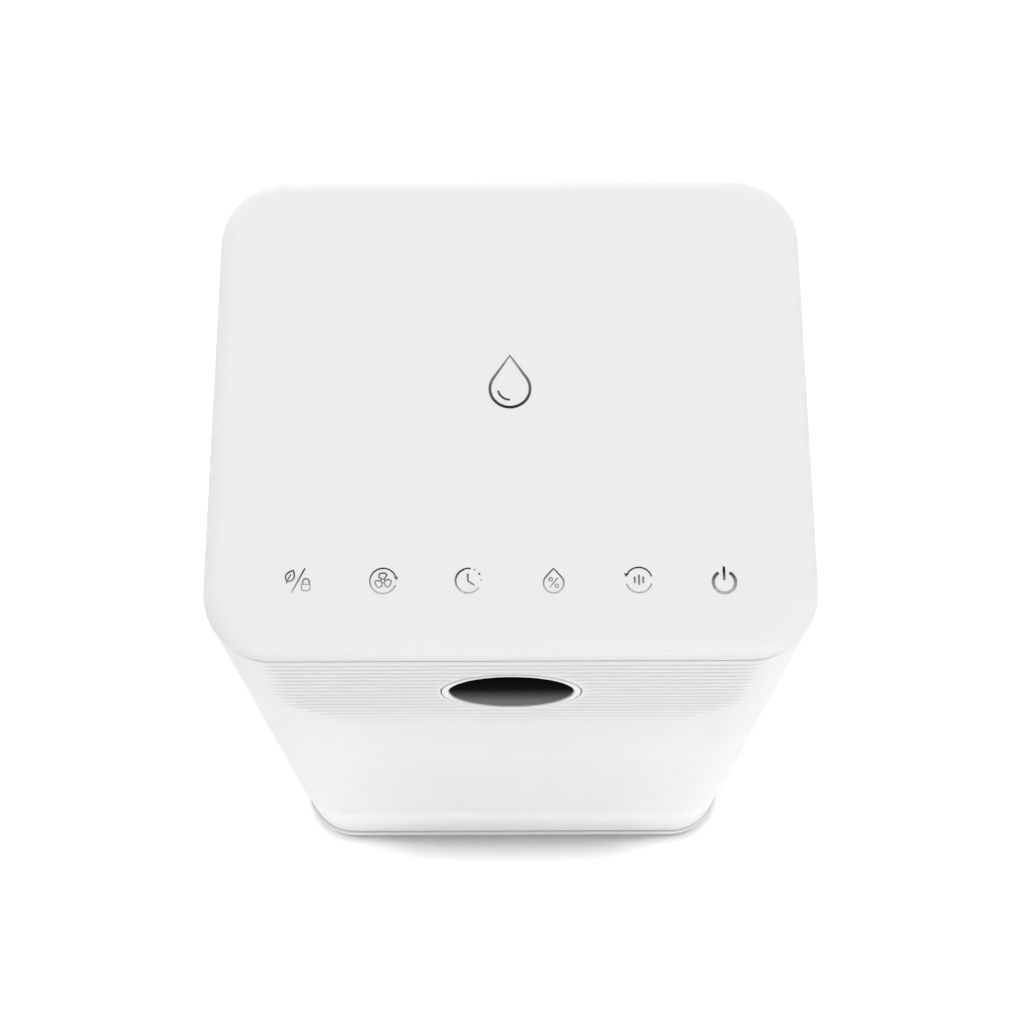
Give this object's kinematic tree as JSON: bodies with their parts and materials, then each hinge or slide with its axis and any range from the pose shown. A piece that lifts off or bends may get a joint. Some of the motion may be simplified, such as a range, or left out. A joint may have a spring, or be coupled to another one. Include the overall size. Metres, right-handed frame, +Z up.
{
  "type": "dehumidifier",
  "caption": "Upright white compressor dehumidifier with a ribbed front, a round dark display, a flat touch top and a drawer tank below.",
  "frame": {"origin": "middle of the footprint, on the floor under the feet", "axes": "+Z up, -Y out of the front with the round display, +X to the right as seen facing the rear wall from the front"},
  "size_m": [0.25, 0.215, 0.435],
  "materials": {
    "white_shell": "satin off-white moulded ABS",
    "gloss_white": "polished white moulding",
    "black_lens": "polished black display window",
    "chrome_trim": "polished foil badge",
    "black_rubber": "dull moulded rubber",
    "tank_plastic": "translucent pale blue-white polypropylene",
    "zinc_steel": "zinc-plated steel",
    "black_enamel": "black enamel",
    "copper_pipe": "drawn copper, slightly oxidised",
    "aluminium_fin": "mill-finish fins",
    "grey_plastic": "plain grey moulding",
    "black_plastic": "plain black moulding",
    "circuit_board": "green solder mask",
    "filter_net": "fine woven filter net"
  },
  "bodies": {
    "casing": {"base_tray": "white_shell", "capillary_tube": "copper_pipe", "chassis_deck": "grey_plastic", "compressor": "black_enamel", "compressor_bolt_1": "zinc_steel", "compressor_bolt_2": "zinc_steel", "compressor_bolt_3": "zinc_steel", "compressor_grommet_1": "black_rubber", "compressor_grommet_2": "black_rubber", "compressor_grommet_3": "black_rubber", "compressor_terminal_cap": "black_plastic", "condenser": "aluminium_fin", "control_board": "circuit_board", "control_box": "grey_plastic", "cord_gland": "black_rubber", "discharge_pipe": "copper_pipe", "display_bezel": "gloss_white", "display_board": "circuit_board", "display_lens": "black_lens", "drain_hose": "black_rubber", "drain_spout": "white_shell", "drip_tray": "grey_plastic", "evaporator": "aluminium_fin", "fan_inlet_plate": "grey_plastic", "fan_motor": "zinc_steel", "fan_scroll": "grey_plastic", "filter_drier": "copper_pipe", "foot_front_left": "black_rubber", "foot_front_right": "black_rubber", "foot_rear_left": "black_rubber", "foot_rear_right": "black_rubber", "front_cover": "white_shell", "grip_left": "white_shell", "grip_right": "white_shell", "humidity_sensor": "white_shell", "inlet_grille": "white_shell", "outlet_grille": "white_shell", "rear_cover": "white_shell", "rear_screw_1": "zinc_steel", "rear_screw_2": "zinc_steel", "rear_screw_3": "zinc_steel", "rear_screw_4": "zinc_steel", "run_capacitor": "zinc_steel", "suction_accumulator": "black_enamel", "suction_pipe": "copper_pipe", "tank_switch": "black_plastic", "top_cover": "white_shell", "top_emblem": "chrome_trim", "touch_board": "circuit_board"},
    "tank": {"tank_body": "tank_plastic", "tank_front": "white_shell", "tank_lid": "tank_plastic"},
    "float": {"tank_float": "grey_plastic", "float_magnet": "zinc_steel"},
    "fan": {"fan_impeller": "black_plastic", "fan_shaft": "zinc_steel"},
    "filter": {"filter_frame": "grey_plastic", "filter_mesh": "filter_net"},
    "plug": {"drain_plug": "black_rubber"},
    "lever": {"switch_lever": "zinc_steel"}
  },
  "joints": [
    {"name": "tank_slide", "type": "slide", "parent": "casing", "child": "tank", "axis": [0, -1, 0], "range_m": [0, 0.2]},
    {"name": "float_swing", "type": "hinge", "parent": "tank", "child": "float", "pos_m": [-0.06, 0.008, 0.066], "axis": [1, 0, 0], "range_deg": [0, 30]},
    {"name": "fan_spin", "type": "hinge", "parent": "casing", "child": "fan", "pos_m": [0, -0.01, 0.338], "axis": [0, 1, 0], "continuous": true},
    {"name": "filter_slide", "type": "slide", "parent": "casing", "child": "filter", "axis": [-1, 0, 0], "range_m": [0, 0.225]},
    {"name": "drain_plug_pull", "type": "slide", "parent": "casing", "child": "plug", "axis": [0, 1, 0], "range_m": [0, 0.02]},
    {"name": "switch_lever_press", "type": "hinge", "parent": "casing", "child": "lever", "pos_m": [0, 0.0935, 0.062], "axis": [1, 0, 0], "range_deg": [0, 5], "stiffness_Nm_per_rad": 0.03, "springref_deg": -5.73}
  ]
}
